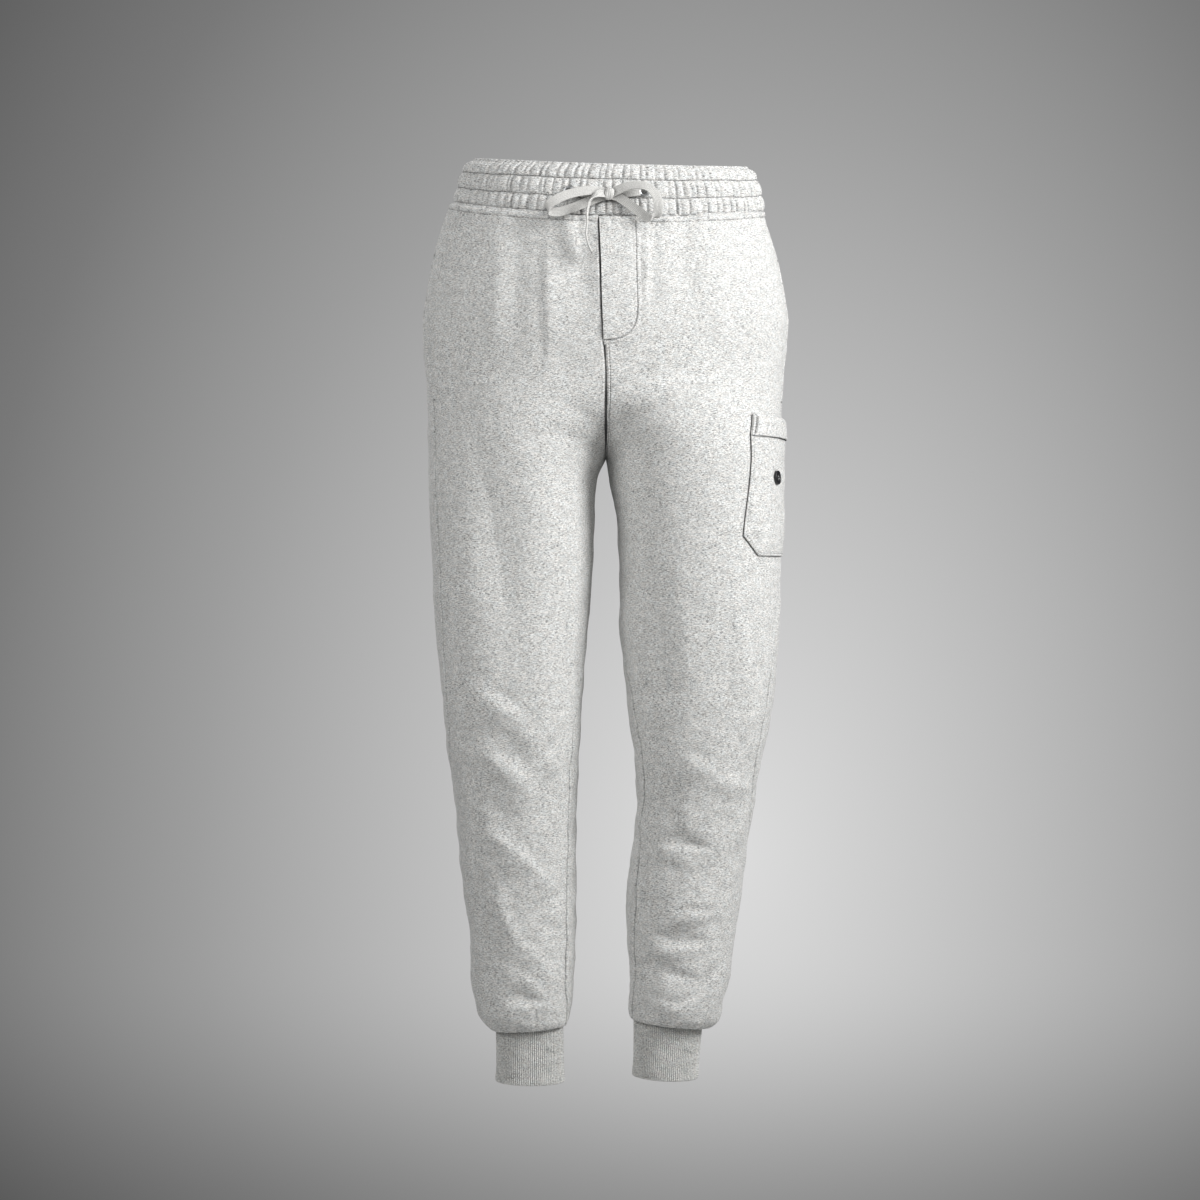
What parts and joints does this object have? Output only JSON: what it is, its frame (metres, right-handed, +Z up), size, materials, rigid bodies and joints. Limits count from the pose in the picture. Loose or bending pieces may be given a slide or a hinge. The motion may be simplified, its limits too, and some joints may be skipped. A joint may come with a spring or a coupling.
{
  "type": "jogger sweatpants",
  "caption": "Fleece jogger sweatpants in worn form, hollow, with a gathered drawstring waistband, mock fly, cargo pocket and ribbed cuffs.",
  "frame": {"origin": "middle of the waistband, on the garment's centre line, where the wearer's waist holds it", "axes": "+Z up, +X toward the wearer's left, the front faces -Y"},
  "size_m": [0.3964, 0.2772, 1.0103],
  "materials": {
    "cloth": "light heather grey brushed sweat cloth",
    "band": "light heather grey sweat cloth gathered over elastic",
    "rib": "light heather grey one by one rib knit",
    "tape": "pale grey flat woven cotton tape",
    "button": "black sewn four hole button",
    "eyelet": "pressed metal eyelet"
  },
  "bodies": {
    "root": {"front_right": "cloth", "front_left": "cloth", "back_right": "cloth", "back_left": "cloth", "waistband": "band", "cuff_right": "rib", "cuff_left": "rib", "fly_placket": "cloth", "cargo_pocket": "cloth", "cargo_pocket_hem": "cloth", "cargo_button": "button", "eyelet_right": "eyelet", "eyelet_left": "eyelet", "drawstring_right_lead": "tape", "drawstring_left_lead": "tape", "bow_knot": "tape", "drawstring_right_loop": "tape", "drawstring_left_loop": "tape", "drawstring_right_end": "tape"}
  },
  "joints": []
}
